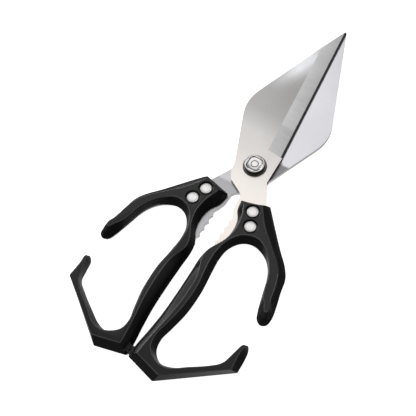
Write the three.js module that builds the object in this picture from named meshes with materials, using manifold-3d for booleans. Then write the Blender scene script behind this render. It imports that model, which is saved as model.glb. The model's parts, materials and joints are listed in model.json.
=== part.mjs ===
// Poultry shears: two mirror-alike halves turning on one barrel nut. Each half is a flat stamped
// blade whose tang lies between two riveted handle shells. Millimetres, +Z up, lying flat.
import * as THREE from 'three';
import Module from 'manifold-3d';

// ---- driving dimensions -------------------------------------------------------------------
const GAP = 0.3;                 // clearance between neighbouring pieces
const HALF_GAP = GAP / 2;
const PLATE = 2.5;               // blade stock
const FACE_TOP = 7.5;            // flat top face of the handles, from the plane between the blades
const FACE_BOTTOM = -5;          // flat underside that the tool lies on
const SPLIT = 1.4;               // where the two shells of a handle meet, at its widest outline
const CROWN = { z: 5.5, from: 3.5, swell: 0.95 };  // walls wider than `from` swell at this height
const UNDERCUT = 3.4;            // how far the underside lies inside the widest outline
const TIP_Y = 117.5;             // from the pivot to the blade tips
const HEEL_Y = -138.4;           // from the pivot to the bottom corner of the loops

const BLADE_BOTTOM = HALF_GAP;
const BLADE_TOP = BLADE_BOTTOM + PLATE;

const BEVEL = { width: 10, drop: 1.1, edgeWidth: 1.3, edgeLand: 0.3 };
const HEEL_IN = [1.3, 13.8];     // spine end of the line where the ground bevel begins
const HEEL_OUT = [11.4, 12.5];   // and its end on the cutting edge
const EDGE_TIP = [0.6, TIP_Y];

const BARREL_R = 3.5;
const PIVOT_HOLE_R = BARREL_R + GAP;
const PIVOT_HEAD_R = 6.2;
const NUT_HEAD = 1.8;
const SCREW_HEAD = 1.2;
const WASHER = { r: 7.2, thick: 0.7 };
const SPRING_WASHER = { r: 7, thick: 0.3 };
const SCREW_R = 1.6;

const RIVETS = [[15.7, -29], [19.3, -37.8]];
const RIVET = { headR: 3.5, head: 1.1, below: 0.3, barrelR: 2.4, pinR: 1.3, sink: 1.7, sinkR: 4.4 };
const RIVET_BARREL_END = -1.5;
const RIVET_WEB = 1;             // metal left under the barrel's head by its blind bore
const PIN_END = 0.5;             // free length above the pin inside the barrel

const TEETH = { count: 5, pitch: 4.9, depth: 1.2, x: 5.2, top: -34.2 };

const PAD = { x: HALF_GAP, y: -130.2, z: SPLIT, width: 4.4, high: 5, deep: 1.6, rib: 0.5, ribs: 3 };
const PAD_ROOT = { width: 5.8, high: 6.4, deep: 1.2 };

const PEG = { r: 0.9, up: 1.6 };
const PEGS = [[47.7, -62], [9.2, -92], [6.2, -121.5], [33.5, -124.4], [51.4, -107.5]];

// ---- outlines -----------------------------------------------------------------------------

// Handle stations, clockwise seen from above, in runs that meet at sharp corners. Each row is a
// point of the widest outline, at mid thickness, and the point above it on the flat top face.
const HANDLE_RUNS = [
  // end face that the blade comes out of
  [[4.3, -23.6, 8.7, -27], [21.5, -19, 18.5, -22.8]],
  // outside of the block, the upper arm and its tip, and the whole inside of the finger loop
  [[21.5, -19, 18.5, -22.8], [30.6, -29.6, 25.6, -33], [39.8, -40, 35.6, -42.6],
    [46.8, -47.4, 42.8, -49.4], [50.8, -53.8, 47.2, -55.4], [52.5, -62, 49.6, -62.5],
    [54.6, -70.5, 51.2, -70.5], [55.8, -78, 53, -74.6], [55, -82.2, 53.1, -76.6],
    [52.1, -83.8, 51.8, -77.4], [49, -82, 50.4, -76.4], [47.2, -78, 49, -74],
    [45.3, -71.5, 46.4, -70.5], [43.6, -65, 44.5, -65], [42.3, -60, 43.1, -59.4],
    [39.8, -54.2, 40, -53], [34.8, -48.6, 35, -47], [26, -45.2, 27, -42.4],
    [19.2, -47.2, 18.3, -44.7],
    [14.3, -53.6, 12.6, -52.4], [13, -61, 10.7, -61], [13.6, -70, 11, -70],
    [15, -84, 12.9, -84], [14.6, -98, 12.4, -98], [12.4, -109.5, 10.3, -109],
    [10.7, -117.5, 8.6, -117.5], [12.2, -124, 9.9, -124.4], [17.5, -128.2, 17, -129.4],
    [23.5, -127.2, 23.6, -129.3], [32, -122.3, 33, -123.3], [41, -116.4, 41.6, -117.4],
    [46.9, -111.6, 46.7, -112.6], [48.2, -105.5, 48.9, -105.5], [49.9, -98.6, 50.6, -99.6],
    [52.3, -96.8, 51.6, -98.8], [53.9, -98.8, 52.2, -99.8], [54.8, -104, 51.9, -104],
    [55, -112, 52.6, -113.4]],
  // slanting bottom edge, then the short end beside the stop pad
  [[55, -112, 52.6, -113.4], [19, HEEL_Y, 21.6, -135]],
  [[19, HEEL_Y, 21.6, -135], [0.6, -133.8, 5.5, -131]],
  // gap side: the stop, the long arm and the hollow beside the nutcracker jaw
  [[0.6, -133.8, 5.5, -131], [0.6, -127, 5.8, -127], [2, -116, 7.1, -116],
    [3.1, -104, 9.1, -103], [3.4, -90, 9.9, -90], [3.3, -77, 9.2, -77], [3.1, -66, 5.6, -67],
    [4.2, -60.2, 6.3, -61.2], [8.8, -52.2, 10.9, -52.2], [10.2, -44.5, 12.7, -44],
    [9.2, -37, 11.9, -36], [5.6, -30.6, 9.8, -29.4], [4.3, -23.6, 8.7, -27]],
];
const STEPS = 3;                 // straight steps between two handle stations on a curved run
const STRAIGHT = 6;              // longest step on a straight run
const OVERLAP = 0.1;             // how far two bodies of one piece reach into each other

// Corners of the blade and tang with the radius of each, counter-clockwise from the tip.
const BLADE_SPINE = [
  [...EDGE_TIP], [-0.5, TIP_Y], [-29.5, 39.3, 27], [-11.8, -3.5, 6], [-11, -9, 4], [-8, -14.4, 3],
  [1.2, -19.6, 3], [3.2, -22, 2], [3.3, -29],
];
const TANG = [
  [4.8, -60], [6.6, -63], [6.9, -77, 1.4], [9, -79.5, 1.4], [10.9, -77, 1.4], [10.8, -61, 6],
  [12.4, -51, 8], [17.5, -45, 6], [25, -41.5, 4], [27, -37.5, 4], [24.5, -29, 6], [18.1, -17.8, 6],
  [11.9, -6.3],
];

// ---- shape helpers ------------------------------------------------------------------------

const wasm = await Module();
wasm.setup();

// Replaces each corner [x, y, radius] by an arc that touches both sides. A corner without a
// radius stays sharp.
function roundCorners(corners, arcStep = Math.PI / 14) {
  const points = [];
  corners.forEach(([x, y, radius], i) => {
    if (!radius) {
      points.push(new THREE.Vector2(x, y));
      return;
    }
    const [px, py] = corners[(i + corners.length - 1) % corners.length];
    const [nx, ny] = corners[(i + 1) % corners.length];
    const corner = new THREE.Vector2(x, y);
    const back = new THREE.Vector2(px, py).sub(corner).normalize();
    const ahead = new THREE.Vector2(nx, ny).sub(corner).normalize();
    const half = Math.acos(THREE.MathUtils.clamp(back.dot(ahead), -1, 1)) / 2;
    const bisector = back.clone().add(ahead).normalize();
    const centre = corner.clone().addScaledVector(bisector, radius / Math.sin(half));
    const from = corner.clone().addScaledVector(back, radius / Math.tan(half)).sub(centre);
    const turn = Math.PI - 2 * half;
    const steps = Math.max(1, Math.ceil(turn / arcStep));
    const step = (Math.sign(-back.cross(ahead)) * turn) / steps;
    for (let k = 0; k <= steps; k += 1) {
      points.push(from.clone().rotateAround(new THREE.Vector2(), k * step).add(centre));
    }
  });
  return points;
}

// A closed solid from a geometry, with the corners that lie on one another made one.
function solid(geometry) {
  const perMillimetre = 1e5;
  const source = geometry.index ? geometry.toNonIndexed() : geometry;
  const position = source.getAttribute('position');
  const seen = new Map();
  const vertices = [];
  const triangles = [];
  for (let i = 0; i < position.count; i += 1) {
    const xyz = [position.getX(i), position.getY(i), position.getZ(i)];
    const key = xyz.map((value) => Math.round(value * perMillimetre)).join();
    if (!seen.has(key)) {
      seen.set(key, vertices.length / 3);
      vertices.push(...xyz);
    }
    triangles.push(seen.get(key));
  }
  const kept = [];
  for (let i = 0; i < triangles.length; i += 3) {
    const [a, b, c] = triangles.slice(i, i + 3);
    if (a !== b && b !== c && c !== a) {
      kept.push(a, b, c);
    }
  }
  return new wasm.Manifold(new wasm.Mesh({
    numProp: 3,
    vertProperties: new Float32Array(vertices),
    triVerts: new Uint32Array(kept),
  }));
}

function geometryOf(body) {
  const mesh = body.getMesh();
  const corners = new Float32Array(mesh.vertProperties);
  const geometry = new THREE.BufferGeometry();
  geometry.setAttribute('position', new THREE.BufferAttribute(corners, 3));
  geometry.setIndex(new THREE.BufferAttribute(new Uint32Array(mesh.triVerts), 1));
  const flat = geometry.toNonIndexed();
  flat.computeVertexNormals();
  return flat;
}

function prism(points, bottom, top) {
  const geometry = new THREE.ExtrudeGeometry(new THREE.Shape(points), {
    depth: top - bottom,
    bevelEnabled: false,
  });
  return solid(geometry.translate(0, 0, bottom));
}

function disc(radius, bottom, top, [x, y], sides = 32) {
  const geometry = new THREE.CylinderGeometry(radius, radius, top - bottom, sides);
  geometry.rotateX(Math.PI / 2);
  return solid(geometry.translate(x, y, (top + bottom) / 2));
}

function block(x, y, z, [cx, cy, cz]) {
  return solid(new THREE.BoxGeometry(x, y, z).translate(cx, cy, cz));
}

// A solid skin over rings of equal count, listed upwards as [outline, height].
function loft(...rings) {
  const vertices = [];
  const levels = rings.map(([points, z]) => points.map((p) => [p.x, p.y, z]));
  const low = levels[0];
  const high = levels.at(-1);
  for (const [a, b, c] of THREE.ShapeUtils.triangulateShape(rings[0][0], [])) {
    vertices.push(...low[a], ...low[c], ...low[b]);
  }
  for (const [a, b, c] of THREE.ShapeUtils.triangulateShape(rings.at(-1)[0], [])) {
    vertices.push(...high[a], ...high[b], ...high[c]);
  }
  for (let level = 1; level < levels.length; level += 1) {
    const [below, above] = [levels[level - 1], levels[level]];
    for (let i = 0; i < below.length; i += 1) {
      const j = (i + 1) % below.length;
      vertices.push(...below[i], ...below[j], ...above[j], ...below[i], ...above[j], ...above[i]);
    }
  }
  const geometry = new THREE.BufferGeometry();
  geometry.setAttribute('position', new THREE.Float32BufferAttribute(vertices, 3));
  return solid(geometry);
}

function part(name, body, look) {
  const mesh = new THREE.Mesh(geometryOf(body), new THREE.MeshStandardMaterial(look));
  mesh.name = name;
  return mesh;
}

// The mirror image of every mesh in a group, across the plane x = 0.
function mirrored(group) {
  group.traverse((node) => {
    if (node.isMesh) {
      const position = node.geometry.getAttribute('position');
      for (let i = 0; i < position.count; i += 3) {
        const xyz = [0, 2, 1].map((k) => new THREE.Vector3().fromBufferAttribute(position, i + k));
        xyz.forEach((corner, k) => position.setXYZ(i + k, -corner.x, corner.y, corner.z));
      }
      node.geometry.computeVertexNormals();
    }
  });
  return group;
}

const CENTRE = [0, 0];
const STEEL = { color: 0xc8c8ca, roughness: 0.32, metalness: 1 };
const BRIGHT_STEEL = { color: 0xe2e0dd, roughness: 0.22, metalness: 1 };
const SPRING_STEEL = { color: 0x8d8f93, roughness: 0.4, metalness: 1 };
const BLACK_PLASTIC = { color: 0x1d1d1e, roughness: 0.42, metalness: 0 };
const BLACK_RUBBER = { color: 0x121212, roughness: 0.8, metalness: 0 };

// ---- blade --------------------------------------------------------------------------------

// Nutcracker jaw: a row of round scallops along the gap side of the tang.
function jawPoints() {
  const points = [];
  const steps = 4;
  for (let k = 0; k <= TEETH.count * steps; k += 1) {
    const hollow = TEETH.depth * Math.abs(Math.sin((Math.PI * k) / steps));
    points.push(new THREE.Vector2(TEETH.x + hollow, TEETH.top - (k / steps) * TEETH.pitch));
  }
  return points;
}

function bladeOutline() {
  const spine = roundCorners(BLADE_SPINE);
  const tang = roundCorners(TANG);
  return [...spine, ...jawPoints(), ...tang, new THREE.Vector2(...HEEL_OUT)];
}

// What grinding takes off the outer face: a wide shallow bevel, then the steep cutting bevel.
function bevelCut() {
  const edge = new THREE.Vector2(EDGE_TIP[0] - HEEL_OUT[0], EDGE_TIP[1] - HEEL_OUT[1]);
  const over = 4;
  const section = [
    [-BEVEL.width, BLADE_TOP],
    [-BEVEL.edgeWidth, BLADE_TOP - BEVEL.drop],
    [0, BLADE_BOTTOM + BEVEL.edgeLand],
    [over, BLADE_BOTTOM + BEVEL.edgeLand],
    [over, BLADE_TOP + over],
    [-BEVEL.width, BLADE_TOP + over],
  ].map(([x, z]) => new THREE.Vector2(x, z));
  const length = edge.length() + 2 * over;
  const geometry = new THREE.ExtrudeGeometry(new THREE.Shape(section), {
    depth: length,
    bevelEnabled: false,
  });
  geometry.rotateX(Math.PI / 2);
  geometry.translate(0, length - over, 0);
  geometry.rotateZ(Math.atan2(-edge.x, edge.y));
  geometry.translate(HEEL_OUT[0], HEEL_OUT[1], 0);
  const slope = (HEEL_OUT[1] - HEEL_IN[1]) / (HEEL_OUT[0] - HEEL_IN[0]);
  const reach = 25;
  const aheadOfHeel = [
    [HEEL_IN[0] - reach, HEEL_IN[1] - slope * reach],
    [HEEL_OUT[0] + reach, HEEL_OUT[1] + slope * reach],
    [HEEL_OUT[0] + reach, TIP_Y + reach],
    [HEEL_IN[0] - reach, TIP_Y + reach],
  ].map(([x, y]) => new THREE.Vector2(x, y));
  return solid(geometry).intersect(prism(aheadOfHeel, 0, BLADE_TOP + over));
}

function blade() {
  let body = prism(bladeOutline(), BLADE_BOTTOM, BLADE_TOP).subtract(bevelCut());
  body = body.subtract(disc(PIVOT_HOLE_R, 0, 2 * PLATE, CENTRE, 40));
  for (const place of RIVETS) {
    body = body.subtract(disc(RIVET.barrelR + GAP, 0, 2 * PLATE, place));
  }
  return body;
}

// ---- handle shells ------------------------------------------------------------------------

// The two handle outlines, point for point: the widest one and the one of the flat top face.
function handleOutlines() {
  const widest = [];
  const top = [];
  for (const run of HANDLE_RUNS) {
    const outer = new THREE.CatmullRomCurve3(run.map(([x, y]) => new THREE.Vector3(x, y, 0)));
    const inner = new THREE.CatmullRomCurve3(run.map(([, , x, y]) => new THREE.Vector3(x, y, 0)));
    const steps = run.length > 2 ? STEPS * (run.length - 1) : Math.ceil(outer.getLength() / STRAIGHT);
    for (let i = 0; i < steps; i += 1) {
      widest.push(outer.getPoint(i / steps));
      top.push(inner.getPoint(i / steps));
    }
  }
  const flat = (points) => points.map((p) => new THREE.Vector2(p.x, p.y)).reverse();
  return { widest: flat(widest), top: flat(top) };
}

// The walls part way up: straight where they are narrow, swollen outwards where they are wide.
function crowned(widest, top) {
  const share = (CROWN.z - SPLIT) / (FACE_TOP - SPLIT);
  return widest.map((p, i) => {
    const along = widest[(i + 1) % widest.length].clone().sub(widest.at(i - 1)).normalize();
    const across = top[i].clone().sub(p);
    const swell = CROWN.swell * Math.max(0, Math.abs(along.cross(across)) - CROWN.from);
    return p.clone().addScaledVector(across, share - swell / across.length());
  });
}

function distanceToOutline(point, outline) {
  let nearest = Infinity;
  outline.forEach((a, i) => {
    const side = outline[(i + 1) % outline.length].clone().sub(a);
    const along = THREE.MathUtils.clamp(point.clone().sub(a).dot(side) / side.lengthSq(), 0, 1);
    nearest = Math.min(nearest, point.distanceTo(a.clone().addScaledVector(side, along)));
  });
  return nearest;
}

// An outline moved inwards, by less where the shape is too narrow for the whole depth.
function inset(outline, depth) {
  const count = outline.length;
  const sharpest = 0.5;          // cosine of the sharpest half corner that is mitred in full
  const shallowest = 0.2;
  const step = 0.1;
  const clear = 0.95;            // share of the reach that has to stay free of the outline
  const kept = 0.86;             // share of the free reach that is used
  return outline.map((p, i) => {
    const ahead = outline[(i + 1) % count].clone().sub(p).normalize();
    const behind = p.clone().sub(outline[(i + count - 1) % count]).normalize();
    const along = ahead.clone().add(behind).normalize();
    const inward = new THREE.Vector2(-along.y, along.x);
    const corner = Math.max(sharpest, along.dot(ahead));
    const moved = (reach) => p.clone().addScaledVector(inward, reach / corner);
    let reach = depth;
    while (reach > shallowest && distanceToOutline(moved(reach), outline) < clear * reach) {
      reach -= step;
    }
    return moved(reach * kept);
  });
}

// Room for the tang, open towards the blade and towards the nutcracker gap.
function tangPocket(low, high) {
  const outline = roundCorners(TANG);
  const room = outline.map((p, i) => {
    const before = outline[Math.max(i - 1, 0)];
    const after = outline[Math.min(i + 1, outline.length - 1)];
    const outward = new THREE.Vector2(after.y - before.y, before.x - after.x).normalize();
    return p.clone().addScaledVector(outward, GAP);
  });
  const outside = -12;
  const mouth = [new THREE.Vector2(outside, 0), new THREE.Vector2(outside, room[0].y)];
  return prism([...mouth, ...room], low - GAP, high + GAP);
}

// The stop pad's pocket: a narrow mouth in front of a wider root.
function padPocket() {
  const deep = PAD.deep + PAD_ROOT.deep;
  const mouth = block(deep + 2, PAD.width + 2 * GAP, PAD.high + 2 * GAP,
    [PAD.x + deep / 2 - 1, PAD.y, PAD.z]);
  const root = block(PAD_ROOT.deep + 2 * GAP, PAD_ROOT.width + 2 * GAP, PAD_ROOT.high + 2 * GAP,
    [PAD.x + PAD.deep + PAD_ROOT.deep / 2, PAD.y, PAD.z]);
  return mouth.add(root);
}

// A handle shell with its rivet holes, counterbored on the outside, and its share of the pockets.
function finishShell(body, tang, outside) {
  let shell = body.subtract(tangPocket(...tang)).subtract(padPocket());
  const inside = outside - Math.sign(outside) * RIVET.sink;
  const beyond = outside + Math.sign(outside);
  for (const place of RIVETS) {
    shell = shell.subtract(disc(RIVET.barrelR + GAP, FACE_BOTTOM - 1, FACE_TOP + 1, place));
    const sink = disc(RIVET.sinkR, Math.min(inside, beyond), Math.max(inside, beyond), place);
    shell = shell.subtract(sink);
  }
  return shell;
}

function topShell(tang) {
  const { widest, top } = handleOutlines();
  const body = loft([widest, SPLIT + HALF_GAP], [crowned(widest, top), CROWN.z], [top, FACE_TOP]);
  let shell = finishShell(body, tang, FACE_TOP);
  for (const place of PEGS) {
    shell = shell.subtract(disc(PEG.r + GAP, SPLIT - 1, SPLIT + PEG.up + GAP, place, 20));
  }
  return shell;
}

function bottomShell(tang) {
  const { widest } = handleOutlines();
  const underside = inset(widest, UNDERCUT);
  const body = loft([underside, FACE_BOTTOM], [widest, SPLIT - HALF_GAP]);
  let shell = finishShell(body, tang, FACE_BOTTOM);
  for (const place of PEGS) {
    shell = shell.add(disc(PEG.r, SPLIT - 1, SPLIT + PEG.up, place, 20));
  }
  return shell;
}

// Rubber stop pad: ribbed face, wider root held between the two shells.
function stopPad() {
  const ribWidth = PAD.width / (2 * PAD.ribs - 1);
  const body = PAD.deep - PAD.rib + OVERLAP;
  let pad = block(body, PAD.width, PAD.high, [PAD.x + PAD.rib + body / 2, PAD.y, PAD.z]);
  pad = pad.add(block(PAD_ROOT.deep, PAD_ROOT.width, PAD_ROOT.high,
    [PAD.x + PAD.deep + PAD_ROOT.deep / 2, PAD.y, PAD.z]));
  for (let i = 0; i < PAD.ribs; i += 1) {
    const y = PAD.y + (2 * i + 1 - PAD.ribs) * ribWidth;
    const rib = PAD.rib + OVERLAP;
    pad = pad.add(block(rib, ribWidth, PAD.high, [PAD.x + rib / 2, y, PAD.z]));
  }
  return pad;
}

// ---- rivets and pivot hardware ------------------------------------------------------------

// Hollow half of a two-part rivet: head in the top shell, barrel through the tang.
function rivetBarrel(place) {
  const top = FACE_TOP - RIVET.below;
  const under = top - RIVET.head;
  return disc(RIVET.headR, under, top, place)
    .add(disc(RIVET.barrelR, RIVET_BARREL_END, under + OVERLAP, place, 24))
    .subtract(disc(RIVET.pinR + GAP, RIVET_BARREL_END - 1, under - RIVET_WEB, place, 24));
}

// Solid half: head in the bottom shell, pin pressed up into the barrel.
function rivetPin(place) {
  const bottom = FACE_BOTTOM + RIVET.below;
  const pinTop = FACE_TOP - RIVET.below - RIVET.head - RIVET_WEB - PIN_END;
  return disc(RIVET.headR, bottom, bottom + RIVET.head, place)
    .add(disc(RIVET.pinR, bottom + OVERLAP, pinTop, place, 24));
}

function ring(outer, inner, bottom, top) {
  return disc(outer, bottom, top, CENTRE, 48).subtract(disc(inner, bottom - 1, top + 1, CENTRE, 40));
}

const WASHER_TOP = BLADE_TOP + GAP + WASHER.thick;
const NUT_UNDER = WASHER_TOP + GAP;
const NUT_TOP = NUT_UNDER + NUT_HEAD;
const SPRING_BOTTOM = -BLADE_TOP - GAP - SPRING_WASHER.thick;
const SCREW_UNDER = SPRING_BOTTOM - GAP;
const SCREW_BOTTOM = SCREW_UNDER - SCREW_HEAD;

// Barrel nut: round head with a cushion-shaped recess, barrel through both blades, blind thread.
function pivotNut() {
  const recess = { half: 4.5, corner: 2.8, deep: 0.4 };
  const web = 0.8;
  const corners = [[1, 1], [-1, 1], [-1, -1], [1, -1]]
    .map(([x, y]) => [x * recess.half, y * recess.half, recess.corner]);
  return disc(PIVOT_HEAD_R, NUT_UNDER, NUT_TOP, CENTRE, 48)
    .subtract(prism(roundCorners(corners), NUT_TOP - recess.deep, NUT_TOP + 1))
    .add(disc(BARREL_R, SCREW_UNDER + GAP, NUT_UNDER + OVERLAP, CENTRE, 40))
    .subtract(disc(SCREW_R + GAP, SCREW_BOTTOM, NUT_TOP - recess.deep - web, CENTRE, 24));
}

// Slotted screw from the rear.
function pivotScrew() {
  const slot = { width: 1.2, deep: 0.6 };
  return disc(PIVOT_HEAD_R, SCREW_BOTTOM, SCREW_UNDER, CENTRE, 48)
    .add(disc(SCREW_R, SCREW_UNDER - OVERLAP, NUT_UNDER, CENTRE, 24))
    .subtract(block(4 * PIVOT_HEAD_R, slot.width, 2 * slot.deep, [0, 0, SCREW_BOTTOM]));
}

// ---- assembly -----------------------------------------------------------------------------

// The handle of one half: two shells, two two-part rivets and the stop pad. tang is the height
// range of the blade that it holds.
function handle(side, tang) {
  const group = new THREE.Group();
  group.add(part(`${side}_handle_top_shell`, topShell(tang), BLACK_PLASTIC));
  group.add(part(`${side}_handle_bottom_shell`, bottomShell(tang), BLACK_PLASTIC));
  group.add(part(`${side}_stop_pad`, stopPad(), BLACK_RUBBER));
  RIVETS.forEach((place, i) => {
    const end = ['upper', 'lower'][i];
    group.add(part(`${side}_${end}_rivet_barrel`, rivetBarrel(place), BRIGHT_STEEL));
    group.add(part(`${side}_${end}_rivet_pin`, rivetPin(place), BRIGHT_STEEL));
  });
  return group;
}

const tool = new THREE.Group();
tool.position.set(0, -(TIP_Y + HEEL_Y) / 2, -FACE_BOTTOM);

tool.add(part('front_blade', blade(), STEEL));
tool.add(handle('right', [BLADE_BOTTOM, BLADE_TOP]));

// The rear blade is the same stamping turned over about its long axis; the left handle is the
// mirror image of the right one, so that both have their broad faces on top.
const rearBlade = part('rear_blade', blade(), STEEL);
rearBlade.rotation.y = Math.PI;
tool.add(rearBlade);
tool.add(mirrored(handle('left', [-BLADE_TOP, -BLADE_BOTTOM])));

tool.add(part('pivot_nut', pivotNut(), BRIGHT_STEEL));
tool.add(part('pivot_screw', pivotScrew(), BRIGHT_STEEL));
tool.add(part('front_washer', ring(WASHER.r, PIVOT_HOLE_R, BLADE_TOP + GAP, WASHER_TOP), STEEL));
tool.add(part('rear_spring_washer',
  ring(SPRING_WASHER.r, PIVOT_HOLE_R, SPRING_BOTTOM, -BLADE_TOP - GAP), SPRING_STEEL));

const poultryShears = new THREE.Group();
poultryShears.add(tool);

export default poultryShears;
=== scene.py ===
import json
import math

import bpy
from mathutils import Matrix, Quaternion, Vector


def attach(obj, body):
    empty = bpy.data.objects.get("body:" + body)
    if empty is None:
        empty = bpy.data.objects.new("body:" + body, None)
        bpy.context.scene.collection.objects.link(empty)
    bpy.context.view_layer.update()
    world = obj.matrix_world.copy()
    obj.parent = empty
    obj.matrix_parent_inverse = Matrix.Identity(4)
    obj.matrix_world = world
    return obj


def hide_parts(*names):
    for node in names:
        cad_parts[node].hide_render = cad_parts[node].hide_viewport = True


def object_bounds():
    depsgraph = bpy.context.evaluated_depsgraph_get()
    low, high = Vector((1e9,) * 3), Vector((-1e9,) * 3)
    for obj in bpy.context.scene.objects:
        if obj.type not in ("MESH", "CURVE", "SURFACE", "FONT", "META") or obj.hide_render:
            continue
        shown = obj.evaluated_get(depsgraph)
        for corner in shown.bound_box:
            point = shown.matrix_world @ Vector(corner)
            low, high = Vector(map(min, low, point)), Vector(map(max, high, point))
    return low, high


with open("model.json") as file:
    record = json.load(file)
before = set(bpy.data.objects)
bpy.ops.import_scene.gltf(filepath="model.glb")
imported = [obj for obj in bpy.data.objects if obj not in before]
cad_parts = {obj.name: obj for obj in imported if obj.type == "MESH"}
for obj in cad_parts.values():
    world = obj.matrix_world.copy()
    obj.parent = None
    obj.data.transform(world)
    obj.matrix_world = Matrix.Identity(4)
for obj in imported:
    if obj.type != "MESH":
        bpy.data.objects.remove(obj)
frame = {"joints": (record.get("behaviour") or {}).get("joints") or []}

cad_low, cad_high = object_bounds()

# ---- The table, the light and the camera ---------------------------------------------------
# The shears lie closed on a white table. A broad soft box hangs over the pivot, a small one
# behind the upper spine and a tall strip stands far to the left. The rest is a dim studio.

MM = 0.001
WHITE = (1.0, 1.0, 1.0, 1.0)
pivot = Vector(frame["joints"][0]["pos_m"])


def put_in_scene(thing):
    bpy.context.scene.collection.objects.link(thing)
    return thing


class Tone:
    """A value on its way through the nodes of a material: sums on it add Math nodes."""

    def __init__(self, tree, socket=None):
        self.tree = tree
        self.socket = socket

    def node(self, kind, settings=None, inputs=None, output=0):
        made = self.tree.nodes.new("ShaderNode" + kind)
        for name, value in (settings or {}).items():
            if name == "stops":
                self.set_stops(made.color_ramp, value)
            else:
                setattr(made, name, value)
        for name, value in (inputs or {}).items():
            self.feed(made.inputs[name], value)
        return Tone(self.tree, made.outputs[output])

    def feed(self, socket, value):
        if isinstance(value, Tone):
            self.tree.links.new(value.socket, socket)
        else:
            socket.default_value = value

    @staticmethod
    def set_stops(ramp, stops):
        """Stops are (place, colour), and a lone number is a grey."""
        while len(ramp.elements) < len(stops):
            ramp.elements.new(1.0)
        for element, (place, colour) in zip(ramp.elements, stops):
            element.position = place
            shade = colour if isinstance(colour, tuple) else (colour, colour, colour)
            element.color = (*shade, 1.0)

    def place(self):
        """Where a point of the piece lies, in metres in the frame of the whole object."""
        return self.node("TexCoord", output="Object")

    def mix(self, share, first, second, kind="MIX"):
        """A colour from two; 6, 7 and 2 are the colour sockets of the node."""
        return self.node("Mix", {"data_type": "RGBA", "blend_type": kind},
                         {"Factor": share, 6: first, 7: second}, output=2)

    def maths(self, operation, first, second):
        return self.node("Math", {"operation": operation}, {0: first, 1: second})

    def __abs__(self):
        return self.maths("ABSOLUTE", self, 0.0)

    def __add__(self, other):
        return self.maths("ADD", self, other)

    def __radd__(self, other):
        return self.maths("ADD", other, self)

    def __sub__(self, other):
        return self.maths("SUBTRACT", self, other)

    def __rsub__(self, other):
        return self.maths("SUBTRACT", other, self)

    def __mul__(self, other):
        return self.maths("MULTIPLY", self, other)

    def __rmul__(self, other):
        return self.maths("MULTIPLY", other, self)


def finish_material(name, constants):
    """A new material whose shader has these constants, with the tone that its nodes start from."""
    material = bpy.data.materials.new(name)
    material.use_nodes = True
    shader = material.node_tree.nodes["Principled BSDF"]
    for socket, value in constants.items():
        shader.inputs[socket].default_value = value
    return material, Tone(material.node_tree), shader


TABLE_SIDE = 6.0
TABLE_BELOW = 0.0002
bpy.ops.mesh.primitive_grid_add(x_subdivisions=8, y_subdivisions=8, size=TABLE_SIDE)
table = bpy.context.object
table.name = "table"
table.location.z = cad_low[2] - TABLE_BELOW
table_paint, tone, shader = finish_material(
    "table_paint", {"Roughness": 0.9, "Emission Color": WHITE, "Emission Strength": 0.97})
speck = tone.node("TexNoise", inputs={"Scale": 40.0, "Detail": 2.0})
tone.feed(shader.inputs["Base Color"],
          tone.mix(speck, (0.93, 0.93, 0.93, 1), (0.95, 0.95, 0.95, 1)))
table.data.materials.append(table_paint)
table.visible_glossy = False


def soft_box(name, place, width, length, watts, lean=(0.0, 0.0)):
    """A lamp of even light that looks straight down, unless it is leant about X and Y."""
    lamp = bpy.data.lights.new(name, "AREA")
    lamp.shape = "RECTANGLE"
    lamp.size = width
    lamp.size_y = length
    lamp.energy = watts
    thing = put_in_scene(bpy.data.objects.new(name, lamp))
    thing.location = place
    thing.rotation_euler = (math.radians(lean[0]), math.radians(lean[1]), 0)


soft_box("box_over_pivot", (-0.24, 0.285, 0.75), 0.8, 0.27, 0.86)
soft_box("box_behind_spine", (-0.38, 0.68, 0.75), 0.2, 0.2, 0.2)
soft_box("strip_left", (-1.1, 0.45, 0.28), 0.25, 1.2, 4.0, (0, -76))

MAIN_LIGHT = (-0.45, 0.10, 0.88)
world = bpy.data.worlds.new("studio")
bpy.context.scene.world = world
world.use_nodes = True
sky = Tone(world.node_tree)
direction = sky.node("TexCoord", output="Generated")
towards_light = sky.node("VectorMath", {"operation": "DOT_PRODUCT"},
                         {0: direction, 1: MAIN_LIGHT}, output="Value")
above = sky.node("ValToRGB", {"stops": [
    (0.0, 0.06), (0.5, 0.15), (0.70, 0.20), (0.80, 0.32), (0.89, (0.50, 0.50, 0.51)),
    (0.97, (0.68, 0.68, 0.69))]}, {"Fac": towards_light * 0.5 + 0.5})
level = sky.node("SeparateXYZ", inputs={"Vector": direction}, output="Z")
below = sky.node("ValToRGB", {"stops": [(0.0, 0.8), (0.07, 0.7), (0.16, 0.0)]},
                 {"Fac": level * 0.5 + 0.5})
walls = sky.mix(1.0, above, below, "ADD")
seen = sky.node("LightPath", output="Is Camera Ray")
background = world.node_tree.nodes["Background"]
sky.feed(background.inputs["Color"], sky.mix(seen, walls, WHITE))
bpy.context.scene.view_settings.view_transform = "Standard"

CAMERA_PLACE = Vector((127.9, -187.3, 391.7)) * MM
CAMERA_AIM = Vector((-10.3, -26.1, 5.0)) * MM
CAMERA_ROLL = math.radians(-9.8)
CAMERA_LENS = 65.5
camera = put_in_scene(bpy.data.objects.new("camera", bpy.data.cameras.new("camera")))
camera.data.lens = CAMERA_LENS
camera.data.sensor_width = 36.0
camera.data.clip_start = 0.01
camera.location = CAMERA_PLACE
camera.rotation_mode = "QUATERNION"
camera.rotation_quaternion = ((CAMERA_AIM - CAMERA_PLACE).to_track_quat("-Z", "Y")
                              @ Quaternion((0, 0, 1), CAMERA_ROLL))
bpy.context.scene.camera = camera

# ---- Blades --------------------------------------------------------------------------------
# Two alike stampings of 2.5 mm stainless sheet, one turned over on the other. The outer face is
# ground to a wide shallow bevel and a steep cutting edge; the tang carries a row of scallops.

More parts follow.
